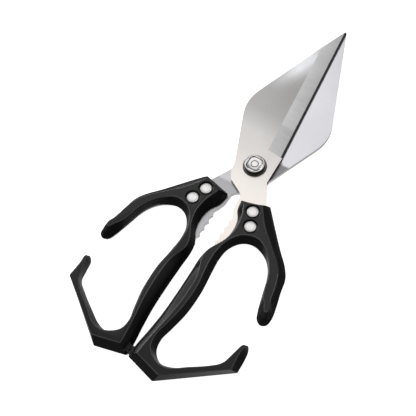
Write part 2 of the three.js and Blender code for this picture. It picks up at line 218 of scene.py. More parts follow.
PLATE_LOW = 0.15
PLATE_HIGH = 2.65
TIP_Y = 117.5
HEEL_OUT = (11.4, 12.5)
HEEL_IN = (1.3, 13.8)
EDGE_TIP = (0.6, TIP_Y)
SPINE = [(*EDGE_TIP, 0), (-0.5, TIP_Y, 0), (-29.5, 39.3, 27), (-11.8, -3.5, 6), (-11, -9, 4),
         (-8, -14.4, 3), (1.2, -19.6, 3), (3.2, -22, 2), (3.3, -29, 0)]
TANG = [(4.8, -60, 0), (6.6, -63, 0), (6.9, -77, 1.4), (9, -79.5, 1.4), (10.9, -77, 1.4),
        (10.8, -61, 6), (12.4, -51, 8), (17.5, -45, 6), (25, -41.5, 4), (27, -37.5, 4),
        (24.5, -29, 6), (18.1, -17.8, 6), (11.9, -6.3, 0)]
JAW = {"hollows": 5, "pitch": 4.9, "depth": 1.2, "x": 5.2, "top": -34.2, "steps": 10}
GRIND = {"width": 10.0, "drop": 1.1, "edge": 1.3, "land": 0.3}
RIVET_PLACES = [(15.7, -29.0), (19.3, -37.8)]
BARREL_RADIUS = 2.4
PIVOT_BARREL_RADIUS = 3.5
GAP = 0.3


def rounded(corners, arc_step=math.radians(5)):
    """The outline with each corner (x, y, radius) replaced by an arc; radius 0 stays sharp."""
    points = []
    for i, (x, y, radius) in enumerate(corners):
        corner = Vector((x, y))
        if not radius:
            points.append(corner)
            continue
        back = (Vector(corners[i - 1][:2]) - corner).normalized()
        ahead = (Vector(corners[(i + 1) % len(corners)][:2]) - corner).normalized()
        half = back.angle(ahead) / 2
        centre = corner + (back + ahead).normalized() * radius / math.sin(half)
        start = corner + back * radius / math.tan(half) - centre
        turn = math.copysign(math.pi - 2 * half, -back.cross(ahead))
        steps = max(2, math.ceil(abs(turn) / arc_step))
        for k in range(steps + 1):
            points.append(centre + Matrix.Rotation(turn * k / steps, 2) @ start)
    return points


def jaw_outline():
    """Round scallops, one after another down the gap side of the tang."""
    points = []
    for k in range(JAW["hollows"] * JAW["steps"] + 1):
        along = k / JAW["steps"]
        hollow = JAW["depth"] * abs(math.sin(math.pi * k / JAW["steps"]))
        points.append(Vector((JAW["x"] + hollow, JAW["top"] - along * JAW["pitch"])))
    return points


def object_of(name, verts, faces):
    """A new object from points in millimetres about the pivot."""
    mesh = bpy.data.meshes.new(name)
    mesh.from_pydata([pivot + Vector(v) * MM for v in verts], [], faces)
    mesh.validate()
    return put_in_scene(bpy.data.objects.new(name, mesh))


def stacked(name, rings):
    """A closed skin over rings of equal count, listed upwards, each going counter-clockwise."""
    count = len(rings[0])
    verts = [v for ring in rings for v in ring]
    faces = []
    for level in range(len(rings) - 1):
        base = level * count
        for i in range(count):
            j = (i + 1) % count
            faces.append((base + i, base + j, base + count + j, base + count + i))
    top = (len(rings) - 1) * count
    faces.append(tuple(range(count - 1, -1, -1)))
    faces.append(tuple(range(top, top + count)))
    return object_of(name, verts, faces)


def slab(name, outline, low, high):
    return stacked(name, [[(p[0], p[1], z) for p in outline] for z in (low, high)])


def turned(name, profile, place=(0.0, 0.0), sides=64):
    """A closed solid of revolution from (radius, height) pairs, from its lowest point up."""
    turns = [2 * math.pi * k / sides for k in range(sides)]
    rings = []
    for radius, z in profile:
        rings.append([(place[0] + radius * math.cos(turn), place[1] + radius * math.sin(turn), z)
                      for turn in turns])
    return stacked(name, rings)


def modify(piece, kind, **settings):
    """Adds a modifier and applies it at once."""
    modifier = piece.modifiers.new(kind.lower(), kind)
    for name, value in settings.items():
        setattr(modifier, name, value)
    with bpy.context.temp_override(object=piece, active_object=piece, selected_objects=[piece]):
        bpy.ops.object.modifier_apply(modifier=modifier.name)
    return piece


def combine(piece, operation, others):
    """Cuts the others away or joins them on; the faces are painted afterwards."""
    for other in others:
        modify(piece, "BOOLEAN", operation=operation, solver="EXACT", object=other)
        bpy.data.objects.remove(other)
    piece.data.materials.clear()
    return piece


def cut(piece, *tools):
    return combine(piece, "DIFFERENCE", tools)


def join_solid(piece, *others):
    return combine(piece, "UNION", others)


def flatten_faces(piece):
    """Lets the broad faces decide the shading, so that they look flat beside rounded edges."""
    return modify(piece, "WEIGHTED_NORMAL", keep_sharp=True, weight=60)


EDGE_BREAK = 0.12


def ease_edges(piece, angle):
    """Breaks the edges sharper than the angle and shades the rest smooth."""
    modify(piece, "BEVEL", width=EDGE_BREAK * MM, segments=2, limit_method="ANGLE",
           angle_limit=math.radians(angle), miter_outer="MITER_ARC")
    for polygon in piece.data.polygons:
        polygon.use_smooth = True
    return flatten_faces(piece)


def shade_by_angle(piece, degrees):
    """Smooth shading, with the edges sharper than this left crisp."""
    with bpy.context.temp_override(object=piece, active_object=piece, selected_objects=[piece],
                                   selected_editable_objects=[piece]):
        bpy.ops.object.shade_smooth_by_angle(angle=math.radians(degrees))


def grind_wedge():
    """What the wheel takes off: a shallow bevel, then the steep edge, ahead of the heel line."""
    edge = Vector(EDGE_TIP) - Vector(HEEL_OUT)
    over = 4.0
    section = [(-GRIND["width"], PLATE_HIGH), (-GRIND["edge"], PLATE_HIGH - GRIND["drop"]),
               (0, PLATE_LOW + GRIND["land"]), (over, PLATE_LOW + GRIND["land"]),
               (over, PLATE_HIGH + over), (-GRIND["width"], PLATE_HIGH + over)]
    forward = edge.normalized()
    right = Vector((forward.y, -forward.x))
    rings = []
    for along in (-over, edge.length + over):
        centre = Vector(HEEL_OUT) + forward * along
        rings.append([(*(centre + right * x), z) for x, z in section])
    wedge = stacked("wedge", rings)
    slope = (HEEL_OUT[1] - HEEL_IN[1]) / (HEEL_OUT[0] - HEEL_IN[0])
    reach = 25.0
    behind = slab("behind", [(HEEL_IN[0] - reach, HEEL_IN[1] - slope * reach),
                             (HEEL_IN[0] - reach, -reach), (HEEL_OUT[0] + reach, -reach),
                             (HEEL_OUT[0] + reach, HEEL_OUT[1] + slope * reach)], -1.0, 9.0)
    return cut(wedge, behind)


def drill(radius, place, sides):
    """A cutter that goes right through the sheet."""
    low, high = -1.0, 4.0
    return turned("drill", [(radius, low), (radius, high)], place, sides)


def make_blade(name):
    outline = rounded(SPINE) + jaw_outline() + rounded(TANG) + [Vector(HEEL_OUT)]
    blade = slab(name, outline, PLATE_LOW, PLATE_HIGH)
    cut(blade, grind_wedge(), drill(PIVOT_BARREL_RADIUS + GAP, (0, 0), 64))
    for place in RIVET_PLACES:
        cut(blade, drill(BARREL_RADIUS + GAP, place, 32))
    return blade


def along_blade(tone, stops):
    """A tint that changes along the blade, from stops of millimetres ahead of the pivot, a level of
    painted light and shade and, where the steel has any, warmth."""
    ahead = tone.node("SeparateXYZ", inputs={"Vector": tone.place()}, output="Y")
    first, last = stops[0][0], stops[-1][0]
    share = (ahead - (pivot.y + first * MM)) * (1 / ((last - first) * MM))
    ramp = []
    for y, level, *rest in stops:
        warmth = sum(rest)
        tint = (level, level * (1 - warmth), level * (1 - 2 * warmth))
        ramp.append(((y - first) / (last - first), tint))
    return tone.node("ValToRGB", {"stops": ramp}, {"Fac": share})


def grain(tone, scale, stretch, turn):
    """Fine grinding lines: noise drawn out along one direction of the sheet."""
    drawn_out = tone.node("Mapping", {"vector_type": "TEXTURE"}, {
        "Vector": tone.place(), "Rotation": (0, 0, math.radians(turn)),
        "Scale": (1.0, 1 / stretch, 1.0)})
    return tone.node("TexNoise", inputs={"Vector": drawn_out, "Scale": scale, "Detail": 4.0,
                                         "Roughness": 0.6})


# Where the painted highlight along the upper spine lies, how far in it reaches and its streaks.
SPINE_CORNER = Vector((-SPINE[2][0], SPINE[2][1]))
SPINE_LINE = (Vector((-SPINE[1][0], TIP_Y)) - SPINE_CORNER).normalized()
GLINT_DEPTH = 13.0
GLINT_LINES = (400.0, 0.08, -20)


def painted_spine_glint(tone):
    """Where a painted highlight lies along the upper spine, in streaks that run along it."""
    streaks = grain(tone, *GLINT_LINES)
    place = tone.place()
    across = tone.node("SeparateXYZ", inputs={"Vector": place}, output="X") - pivot.x
    ahead = tone.node("SeparateXYZ", inputs={"Vector": place}, output="Y") - pivot.y
    inside = ((ahead - SPINE_CORNER.y * MM) * SPINE_LINE.x
              - (abs(across) - SPINE_CORNER.x * MM) * SPINE_LINE.y)
    near_spine = tone.node("ValToRGB", {"stops": [(0.0, 0.9), (0.35, 1.0), (0.65, 0.45), (1.0, 0.0)]},
                           {"Fac": inside * (1 / (GLINT_DEPTH * MM)) + (streaks - 0.5) * 0.5})
    along = along_blade(tone, [(54, 0.0), (66, 0.3), (76, 0.9), (90, 1.0), (97, 0.35), (105, 0.0)])
    return near_spine * along * (0.55 + streaks * 0.9)


def steel(name, dark, light, roughness, lines, contrast=0.35, depth=0.03, stops=None, spine=None):
    """Stainless sheet: grinding lines over slow clouds, with painted reflection and shade shifting
    the colour along the blade by the stops, and a painted highlight of the spine colour at the
    upper spine."""
    material, tone, shader = finish_material(name, {"Metallic": 1.0})
    scratch = grain(tone, *lines)
    cloud = tone.node("TexNoise", inputs={"Vector": tone.place(), "Scale": 90.0, "Detail": 3.0})
    share = scratch * contrast + cloud * (1 - contrast)
    colour = tone.mix(share, dark, light)
    if stops:
        colour = tone.mix(1.0, colour, along_blade(tone, stops), "MULTIPLY")
    if spine:
        colour = tone.mix(painted_spine_glint(tone), colour, spine)
    tone.feed(shader.inputs["Base Color"], colour)
    tone.feed(shader.inputs["Roughness"], roughness - 0.05 + share * 0.1)
    tone.feed(shader.inputs["Normal"], tone.node("Bump", inputs={
        "Strength": depth, "Distance": 0.0001, "Height": scratch}))
    return material


# Each set of grinding lines is (lines per metre, drawn-out share, turn in degrees).
SHEET_LINES = (1500.0, 0.05, 20)
WHEEL_LINES = (900.0, 0.04, -84)
HONING_LINES = (1500.0, 0.06, -84)
NO_LINES = (1500.0, 1.0, 0)

# Painted reflection: the stops make the outer face bright near the pivot, darker mid-blade and bright
# again towards the tip, and the spine colour is a painted highlight along the upper spine.
outer_face = steel(
    "outer_face", (0.76, 0.745, 0.73, 1), (0.84, 0.825, 0.81, 1), 0.30, SHEET_LINES,
    stops=[(-50, 0.80, 0.05), (-14, 0.80, 0.04), (8, 0.72, 0.02), (22, 0.71, 0.01), (38, 0.53),
           (60, 0.50), (72, 0.58), (86, 0.74), (118, 0.76)],
    spine=(0.97, 0.98, 1.0, 1))
# Painted shade and reflection: on the rear blade's visible face the stops paint a dark band behind the
# heel line where the front blade shades it, a darker neck, and light growing towards the tip.
inner_face = steel(
    "inner_face", (0.84, 0.83, 0.86, 1), (0.92, 0.91, 0.94, 1), 0.32, SHEET_LINES,
    stops=[(-50, 0.42), (-15.5, 0.36), (-14.5, 0.52), (-5, 0.50), (-2, 0.22), (9.5, 0.25),
           (10.5, 0.72), (40, 0.82), (60, 0.93), (118, 0.96)])
# Painted reflection: the stops make the ground bevel brighter towards the tip, in steps at about 34 and
# 55 mm ahead of the pivot.
bevel_face = steel(
    "bevel_face", (0.60, 0.60, 0.60, 1), (0.86, 0.86, 0.86, 1), 0.30, WHEEL_LINES, 0.6, 0.06,
    stops=[(10, 0.62), (33, 0.66), (34, 0.78), (54, 0.86), (55, 0.80), (80, 0.98), (118, 1.0)])
# Painted shade: the honed edge is darkened so that it shows as a dark strip along the cutting edge.
edge_face = steel(
    "edge_face", (0.36, 0.36, 0.37, 1), (0.48, 0.48, 0.49, 1), 0.22, HONING_LINES,
    stops=[(10, 0.5), (118, 0.5)])
# Painted shade: near black steel for the upright side beside the heel, where a dark wedge of shade
# lies.
painted_shade_side = steel("painted_shade_side", (0.04, 0.04, 0.04, 1), (0.08, 0.08, 0.08, 1), 0.4, NO_LINES)
side_face = steel("side_face", (0.80, 0.79, 0.78, 1), (0.88, 0.87, 0.86, 1), 0.42, NO_LINES)
BLADE_FINISHES = [outer_face, bevel_face, edge_face, inner_face, side_face, painted_shade_side]


def blade_finish(polygon):
    """The finish of a face of the blade. The ground bevel leans a few degrees towards the cutting
    edge, the edge itself about fifty, and the sheared sides stand upright."""
    tilt = math.degrees(math.acos(max(-1.0, min(1.0, polygon.normal.z))))
    if tilt > 120:
        return inner_face
    if tilt > 62:
        ahead = (polygon.center.y - pivot.y) / MM
        # Painted shade: the upright side of the ricasso just behind the heel is painted near black.
        behind_heel = polygon.normal.x > 0.7 and -8 < ahead < HEEL_OUT[1]
        return painted_shade_side if behind_heel else side_face
    if polygon.normal.x > 0.02 and tilt > 2:
        return edge_face if tilt > 25 else bevel_face
    return outer_face


def paint_blade(blade):
    for material in BLADE_FINISHES:
        blade.data.materials.append(material)
    for polygon in blade.data.polygons:
        polygon.material_index = BLADE_FINISHES.index(blade_finish(polygon))


BLADES = {"front_blade": ("front_half", False), "rear_blade": ("rear_half", True)}
for name, (body, turned_over) in BLADES.items():
    piece = make_blade(name + "_look")
    paint_blade(piece)
    ease_edges(piece, 25)
    if turned_over:
        about_pivot = (Matrix.Translation(pivot) @ Matrix.Rotation(math.pi, 4, "Y")
                       @ Matrix.Translation(-pivot))
        piece.data.transform(about_pivot)
    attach(piece, body)
    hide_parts(name)

# ---- Handle shells -------------------------------------------------------------------------
# Each handle is two moulded shells of black nylon that close over the tang. The walls slope out
# from a flat top face to the widest outline, where the shells meet, and in again underneath.
# Heights are from the plane between the blades.

FACE_TOP = 7.5
FACE_BOTTOM = -5.0
SPLIT = 1.4
HAIRLINE = 0.05
UNDERCUT = 3.4
CROWN = {"z": 5.5, "from": 3.5, "swell": 0.95, "ease": 0.45}

# Clockwise runs between sharp corners; each row is the widest outline, then the top face's edge.
HANDLE_RUNS = [
    [(4.3, -23.6, 8.7, -27), (21.5, -19, 18.5, -22.8)],
    [(21.5, -19, 18.5, -22.8), (30.6, -29.6, 25.6, -33), (39.8, -40, 35.6, -42.6),
     (46.8, -47.4, 42.8, -49.4), (50.8, -53.8, 47.2, -55.4), (52.5, -62, 49.6, -62.5),
     (54.6, -70.5, 51.2, -70.5), (55.8, -78, 53.0, -74.6), (55, -82.2, 53.1, -76.6),
     (52.1, -83.8, 51.8, -77.4), (49, -82, 50.4, -76.4), (47.2, -78, 49.0, -74),
     (45.3, -71.5, 46.4, -70.5), (43.6, -65, 44.5, -65), (42.3, -60, 43.1, -59.4),
     (39.8, -54.2, 40, -53), (34.8, -48.6, 35, -47), (26, -45.2, 27, -42.4),
     (19.2, -47.2, 18.3, -44.7), (14.3, -53.6, 12.6, -52.4), (13, -61, 10.7, -61),
     (13.6, -70, 11, -70), (15, -84, 12.9, -84), (14.6, -98, 12.4, -98),
     (12.4, -109.5, 10.3, -109), (10.7, -117.5, 8.6, -117.5), (12.2, -124, 9.9, -124.4),
     (17.5, -128.2, 17, -129.4), (23.5, -127.2, 23.6, -129.3), (32, -122.3, 33, -123.3),
     (41, -116.4, 41.6, -117.4), (46.9, -111.6, 46.7, -112.6), (48.2, -105.5, 48.9, -105.5),
     (49.9, -98.6, 50.6, -99.6), (52.3, -96.8, 51.6, -98.8), (53.9, -98.8, 52.2, -99.8),
     (54.8, -104, 51.9, -104), (55, -112, 52.6, -113.4)],
    [(55, -112, 52.6, -113.4), (19, -138.4, 21.6, -135)],
    [(19, -138.4, 21.6, -135), (0.6, -133.8, 5.5, -131)],
    [(0.6, -133.8, 5.5, -131), (0.6, -127, 5.8, -127), (2, -116, 7.1, -116),
     (3.1, -104, 9.1, -103), (3.4, -90, 9.9, -90), (3.3, -77, 9.2, -77), (3.1, -66, 5.6, -67),
     (4.2, -60.2, 6.3, -61.2), (8.8, -52.2, 10.9, -52.2), (10.2, -44.5, 12.7, -44),
     (9.2, -37, 11.9, -36), (5.6, -30.6, 9.8, -29.4), (4.3, -23.6, 8.7, -27)],
]


def curve_point(a, b, c, d, t):
    """A point of the centripetal Catmull-Rom curve between b and c."""
    t1 = (b - a).length ** 0.5
    t2 = t1 + (c - b).length ** 0.5
    t3 = t2 + (d - c).length ** 0.5
    now = t1 + (t2 - t1) * t
    ab = a * (t1 - now) / t1 + b * now / t1
    bc = b * (t2 - now) / (t2 - t1) + c * (now - t1) / (t2 - t1)
    cd = c * (t3 - now) / (t3 - t2) + d * (now - t2) / (t3 - t2)
    abc = ab * (t2 - now) / t2 + bc * now / t2
    bcd = bc * (t3 - now) / (t3 - t1) + cd * (now - t1) / (t3 - t1)
    return abc * (t2 - now) / (t2 - t1) + bcd * (now - t1) / (t2 - t1)


def smooth_run(points, steps):
    """The curve through the points, without its last one, where the next run begins."""
    padded = [2 * points[0] - points[1], *points, 2 * points[-1] - points[-2]]
    run = []
    for i in range(len(points) - 1):
        for k in range(steps):
            run.append(curve_point(*padded[i:i + 4], k / steps))
    return run


CURVE_STEPS = 6
STRAIGHT_STEP = 4.0


def handle_outlines():
    """The widest outline and the top face's edge, counter-clockwise, and where the corners are."""
    widest, top, corners = [], [], []
    for run in HANDLE_RUNS:
        outer = [Vector(row[:2]) for row in run]
        inner = [Vector(row[2:]) for row in run]
        straight = math.ceil((outer[1] - outer[0]).length / STRAIGHT_STEP)
        count = straight if len(run) == 2 else CURVE_STEPS
        corners.append(len(widest))
        widest += smooth_run(outer, count)
        top += smooth_run(inner, count)
    return widest[::-1], top[::-1], {len(widest) - 1 - i for i in corners}


def bend(start, corner, end, t):
    """A point of the smooth bend that rounds a corner off."""
    return start * (1 - t) ** 2 + corner * 2 * t * (1 - t) + end * t ** 2


def soften_corners(outline, corners):
    """The outline with its sharp corners rounded off, by at most a share of either side."""
    size = 0.7
    share = 0.7
    softened = []
    for i, p in enumerate(outline):
        if i not in corners:
            softened.append(p)
            continue
        before, after = outline[i - 1] - p, outline[(i + 1) % len(outline)] - p
        back = p + before.normalized() * min(size, share * before.length)
        ahead = p + after.normalized() * min(size, share * after.length)
        softened += [bend(back, p, ahead, t) for t in (0.0, 0.25, 0.5, 0.75, 1.0)]
    return softened


def distance_to(point, outline):
    nearest = math.inf
    for i, a in enumerate(outline):
        side = outline[(i + 1) % len(outline)] - a
        along = max(0.0, min(1.0, (point - a).dot(side) / side.length_squared))
        nearest = min(nearest, (point - a - side * along).length)
    return nearest


def inset(outline, depth):
    """The outline moved inwards, by less where the shape is too narrow for it."""
    sharpest = 0.5  # cosine of the sharpest half corner that is mitred in full
    shallowest = 0.2
    step = 0.1
    clear = 0.95  # share of the reach that has to stay free of the outline
    kept = 0.86  # share of the free reach that is used
    moved = []
    for i, p in enumerate(outline):
        ahead = (outline[(i + 1) % len(outline)] - p).normalized()
        behind = (p - outline[i - 1]).normalized()
        along = (ahead + behind).normalized()
        inward = Vector((-along.y, along.x))
        corner = max(sharpest, along.dot(ahead))
        reach = depth
        while reach > shallowest and distance_to(p + inward * reach / corner, outline) < clear * reach:
            reach -= step
        moved.append(p + inward * kept * reach / corner)
    return moved


def crowned(widest, top):
    """How far up its slope each wall is at the crown: the wide walls swell outwards there."""
    share = (CROWN["z"] - SPLIT) / (FACE_TOP - SPLIT)
    ring = []
    for i, p in enumerate(widest):
        along = (widest[(i + 1) % len(widest)] - widest[i - 1]).normalized()
        across = top[i] - p
        swell = CROWN["swell"] * max(0.0, abs(along.cross(across)) - CROWN["from"])
        ring.append(p + across * (share - swell / across.length))
    return ring


def tang_pocket(low, high):
    """Room for the tang, open towards the blade and the gap."""
    outline = rounded(TANG)
    room = []
    for i, p in enumerate(outline):
        step = outline[min(i + 1, len(outline) - 1)] - outline[max(i - 1, 0)]
        room.append(p + Vector((step.y, -step.x)).normalized() * GAP / 2)
    outside = -12.0
    mouth = [(outside, 0), (outside, room[0].y)]
    return slab("pocket", [*mouth, *room], low - GAP / 2, high + GAP / 2)


PAD = {"x": 0.15, "y": -130.2, "z": SPLIT, "width": 4.4, "high": 5.0, "deep": 1.6, "rib": 0.5}
PAD_ROOT = {"width": 5.8, "high": 6.4, "deep": 1.2}
OVERLAP = 0.1


def brick(name, low, high):
    (x0, y0, z0), (x1, y1, z1) = low, high
    return slab(name, [(x0, y0), (x1, y0), (x1, y1), (x0, y1)], z0, z1)


def pad_brick(name, front, back, size, room=0.0):
    """A block about the middle of the pad, as wide and high as the pad or its root."""
    half, high = size["width"] / 2 + room, size["high"] / 2 + room
    return brick(name, (front, PAD["y"] - half, PAD["z"] - high),
                 (back, PAD["y"] + half, PAD["z"] + high))


def pad_pocket():
    """Room for the pad: a narrow mouth in front of a wider root."""
    room = GAP / 2
    back = PAD["x"] + PAD["deep"]
    return (pad_brick("mouth", -1.0, back + OVERLAP, PAD, room),
            pad_brick("root", back - room, back + PAD_ROOT["deep"] + room, PAD_ROOT, room))


SINK_RADIUS = 4.4
SINK_DEPTH = 1.7


def rivet_sink(place, face):
    """Counterbore with a lightly broken rim, and the hole for the barrel through the shell."""
    outward = math.copysign(1.0, face)
    hole = BARREL_RADIUS + GAP
    beyond_split = face - outward * 12
    floor = face - outward * SINK_DEPTH
    rim = 0.25
    profile = [(hole, beyond_split), (hole, floor), (SINK_RADIUS, floor),
               (SINK_RADIUS, face - outward * rim), (SINK_RADIUS + rim, face),
               (SINK_RADIUS + 2 * rim, face + outward)]
    if outward < 0:
        profile.reverse()
    return turned("sink", profile, place, 48)


EDGE_ROUND = 0.45
UNDER_ROUND = 0.1
SEAM_BREAK = 0.15
UPPER_SEAM_IN = 0.04
LOWER_SEAM_IN = 0.05


def between(ring_a, ring_b, share):
    """A ring part of the way from one ring of (x, y, z) to another."""
    return [Vector(a).lerp(Vector(b), share) for a, b in zip(ring_a, ring_b)]


def face_edge(wall, edge, outline, size):
    """Rings that round the edge between a wall and the flat face that the edge bounds."""
    before, on_face = [], []
    for w, e, o in zip(wall, edge, outline):
        before.append(e + (w - e).normalized() * size)
        inward = (e.xy - o).normalized() * size
        on_face.append(e + Vector((inward.x, inward.y, 0)))
    rounding = [[bend(b, e, f, t) for b, e, f in zip(before, edge, on_face)] for t in (0.25, 0.5, 0.75)]
    return [before, *rounding, on_face]


def lifted(outline, z):
    return [Vector((p.x, p.y, z)) for p in outline]


def upper_rings():
    """From the seam up the crowned wall to the top face."""
    widest, top, corners = handle_outlines()
    middle = soften_corners(crowned(widest, top), corners)
    widest, top = soften_corners(widest, corners), soften_corners(top, corners)
    seam_height = SPLIT + HAIRLINE
    seam = between(lifted(widest, seam_height), lifted(top, seam_height), UPPER_SEAM_IN)
    foot = lifted(widest, seam_height + SEAM_BREAK)
    crown = lifted(middle, CROWN["z"])
    edge = lifted(top, FACE_TOP)
    wall = [between(foot, crown, 0.3)]
    for t in (0.0, 0.3, 0.5, 0.7, 0.9):
        below = between(foot, crown, 1 - CROWN["ease"] * (1 - t))
        above = between(crown, edge, CROWN["ease"] * t)
        wall.append(between(below, above, t))
    return [seam, foot, *wall, *face_edge(wall[-1], edge, widest, EDGE_ROUND)]


def lower_rings():
    """From the underside up the wall to the seam."""
    widest, _, corners = handle_outlines()
    underside = soften_corners(inset(widest, UNDERCUT), corners)
    widest = soften_corners(widest, corners)
    edge = lifted(underside, FACE_BOTTOM)
    seam_height = SPLIT - HAIRLINE
    shoulder = lifted(widest, seam_height - SEAM_BREAK)
    seam = between(lifted(widest, seam_height), lifted(underside, seam_height), LOWER_SEAM_IN)
    return [*reversed(face_edge(shoulder, edge, widest, UNDER_ROUND)), shoulder, seam]


def make_shell(name, upper, tang):
    shell = stacked(name, upper_rings() if upper else lower_rings())
    face = FACE_TOP if upper else FACE_BOTTOM
    sinks = [rivet_sink(place, face) for place in RIVET_PLACES]
    cut(shell, tang_pocket(*tang), *pad_pocket(), *sinks)
    shade_by_angle(shell, 32)
    return flatten_faces(shell)


def moulded_black(name, gloss, roughness, dark, light):
    """Black nylon with a fine spark-eroded grain that dulls the gloss a little unevenly."""
    material, tone, shader = finish_material(
        name, {"Metallic": 0.0, "IOR": 1.5, "Specular IOR Level": gloss})
    pores = tone.node("TexNoise", inputs={"Vector": tone.place(), "Scale": 3800.0, "Detail": 3.0})
    cloud = tone.node("TexNoise", inputs={"Vector": tone.place(), "Scale": 60.0, "Detail": 2.0})
    tone.feed(shader.inputs["Base Color"], tone.mix(cloud, dark, light))
    tone.feed(shader.inputs["Roughness"], roughness + cloud * 0.08 + pores * 0.08)
    tone.feed(shader.inputs["Normal"], tone.node("Bump", inputs={
        "Strength": 0.12, "Distance": 0.00006, "Height": pores}))
    return material


handle_black = moulded_black("handle_black", 0.31, 0.27,
                             (0.0045, 0.0045, 0.0048, 1), (0.0070, 0.0070, 0.0074, 1))
# Painted sheen and wear: the rounded top edges are glossier from handling, and their lighter colour
# paints the thin highlight lines along them.
wear_and_sheen_edge = moulded_black("wear_and_sheen_edge", 1.0, 0.14,
                            (0.012, 0.012, 0.012, 1), (0.030, 0.030, 0.031, 1))


def paint_shell(shell, upper):
    """Hands polish the rounded edge of the top face, so it is glossier than the moulded grain; its
    lighter colour is a painted sheen.
    """
    shell.data.materials.append(handle_black)
    shell.data.materials.append(wear_and_sheen_edge)
    for polygon in shell.data.polygons:
        height = (polygon.center.z - pivot.z) / MM
        on_edge = FACE_TOP - EDGE_ROUND < height < FACE_TOP - 0.005
        if upper and on_edge and 0.1 < polygon.normal.z < 0.995:
            polygon.material_index = 1


# Each side's body, and the height of the tang that it holds.
SIDES = {"right": ("front_half", (PLATE_LOW, PLATE_HIGH)),
         "left": ("rear_half", (-PLATE_HIGH, -PLATE_LOW))}


def place_on_side(piece, side):
    """Pieces are made for the right handle, and the left one's are mirrored about the long axis."""
    if side == "left":
        flip = Matrix.Translation(pivot) @ Matrix.Scale(-1, 4, (1, 0, 0)) @ Matrix.Translation(-pivot)
        piece.data.transform(flip)
        piece.data.flip_normals()


for side, (body, tang) in SIDES.items():
    for level in ("top", "bottom"):
        name = f"{side}_handle_{level}_shell"
        piece = make_shell(name + "_look", level == "top", tang)
        place_on_side(piece, side)
        paint_shell(piece, level == "top")
        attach(piece, body)
        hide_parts(name)

# ---- Stop pads -----------------------------------------------------------------------------
# A small ribbed rubber pad in each handle end takes the knock when the handles close. Its wider
# root is trapped between the two shells.

PAD_RIBS = 3


def make_pad(name):
    back = PAD["x"] + PAD["deep"]
    low, high = PAD["z"] - PAD["high"] / 2, PAD["z"] + PAD["high"] / 2
    pad = pad_brick(name, PAD["x"] + PAD["rib"], back + OVERLAP, PAD)
    join_solid(pad, pad_brick("root", back, back + PAD_ROOT["deep"], PAD_ROOT))
    rib_width = PAD["width"] / (2 * PAD_RIBS - 1)
    for i in range(PAD_RIBS):
        y = PAD["y"] - PAD["width"] / 2 + 2 * i * rib_width
        join_solid(pad, brick("rib", (PAD["x"], y, low),
                              (PAD["x"] + PAD["rib"] + OVERLAP, y + rib_width, high)))
    return ease_edges(pad, 30)


def rubber():
    """Black rubber, dull and a little dusty."""
    material, tone, shader = finish_material("pad_rubber_look", {"Metallic": 0.0})
    dust = tone.node("TexNoise", inputs={"Vector": tone.place(), "Scale": 900.0})
    tone.feed(shader.inputs["Base Color"],
              tone.mix(dust, (0.012, 0.012, 0.012, 1), (0.03, 0.03, 0.03, 1)))
    tone.feed(shader.inputs["Roughness"], 0.6 + dust * 0.25)
    return material


pad_rubber = rubber()
for side, (body, tang) in SIDES.items():
    piece = make_pad(f"{side}_stop_pad_look")
    place_on_side(piece, side)
    piece.data.materials.append(pad_rubber)
    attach(piece, body)
    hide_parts(f"{side}_stop_pad")

# ---- Handle rivets -------------------------------------------------------------------------
# Two-part cutler's rivets of polished stainless: a headed barrel from above and a headed pin
# pressed up into it from below. The slightly domed heads sit in counterbores.

HEAD_RADIUS = 3.5
HEAD_THICK = 1.1
HEAD_BELOW = 0.3
HEAD_ROUND = 0.35
HEAD_RISE = 0.1
AXIS = 0.02  # radius of the small flat that closes a turned piece on its axis
# The polished top: a fine turned groove near the rim round a low dome, as (radius, rise).
HEAD_TOP = [(2.75, 0.02), (2.65, -0.06), (2.5, -0.06), (2.4, 0.03), (1.6, 0.07), (0.7, 0.09),
            (AXIS, HEAD_RISE)]
PIN_RADIUS = 1.3
PIN_TIP = 0.3
BARREL_END = -1.5
BORE_WEB = 1.0
BORE_SPARE = 0.5


def domed_head(outer_z, under_z):
    """Profile of a rivet head from its underside to the middle of its dome."""
    outward = math.copysign(1.0, outer_z - under_z)
    rim = outer_z - outward * HEAD_RISE
    shoulder = rim - outward * HEAD_ROUND
    profile = [(HEAD_RADIUS, under_z), (HEAD_RADIUS, shoulder)]
    for k in range(1, 5):
        angle = math.pi / 2 * k / 5
        profile.append((HEAD_RADIUS - HEAD_ROUND * (1 - math.cos(angle)),
                        shoulder + outward * HEAD_ROUND * math.sin(angle)))
    return profile + [(radius, rim + outward * rise) for radius, rise in HEAD_TOP]


def make_barrel(name, place):
    top = FACE_TOP - HEAD_BELOW
    under = top - HEAD_THICK
    bore = PIN_RADIUS + 0.1
    profile = [(AXIS, under - BORE_WEB), (bore, under - BORE_WEB), (bore, BARREL_END),
               (BARREL_RADIUS, BARREL_END), (BARREL_RADIUS, under), *domed_head(top, under)]
    return turned(name, profile, place)


def make_pin(name, place):
    bottom = FACE_BOTTOM + HEAD_BELOW
    upper = bottom + HEAD_THICK
    tip = FACE_TOP - HEAD_BELOW - HEAD_THICK - BORE_WEB - BORE_SPARE
    profile = [*reversed(domed_head(bottom, upper)), (PIN_RADIUS, upper), (PIN_RADIUS, tip - PIN_TIP),
               (PIN_RADIUS - PIN_TIP, tip), (AXIS, tip)]
    return turned(name, profile, place)


def polished(name, dark, light, roughness):
    """Turned and polished steel, smeared a little by handling."""
    material, tone, shader = finish_material(name, {"Metallic": 1.0})
    smear = tone.node("TexNoise", inputs={"Vector": tone.place(), "Scale": 420.0, "Detail": 3.0})
    tone.feed(shader.inputs["Base Color"], tone.mix(smear, dark, light))
    tone.feed(shader.inputs["Roughness"], roughness - 0.05 + smear * 0.1)
    return material


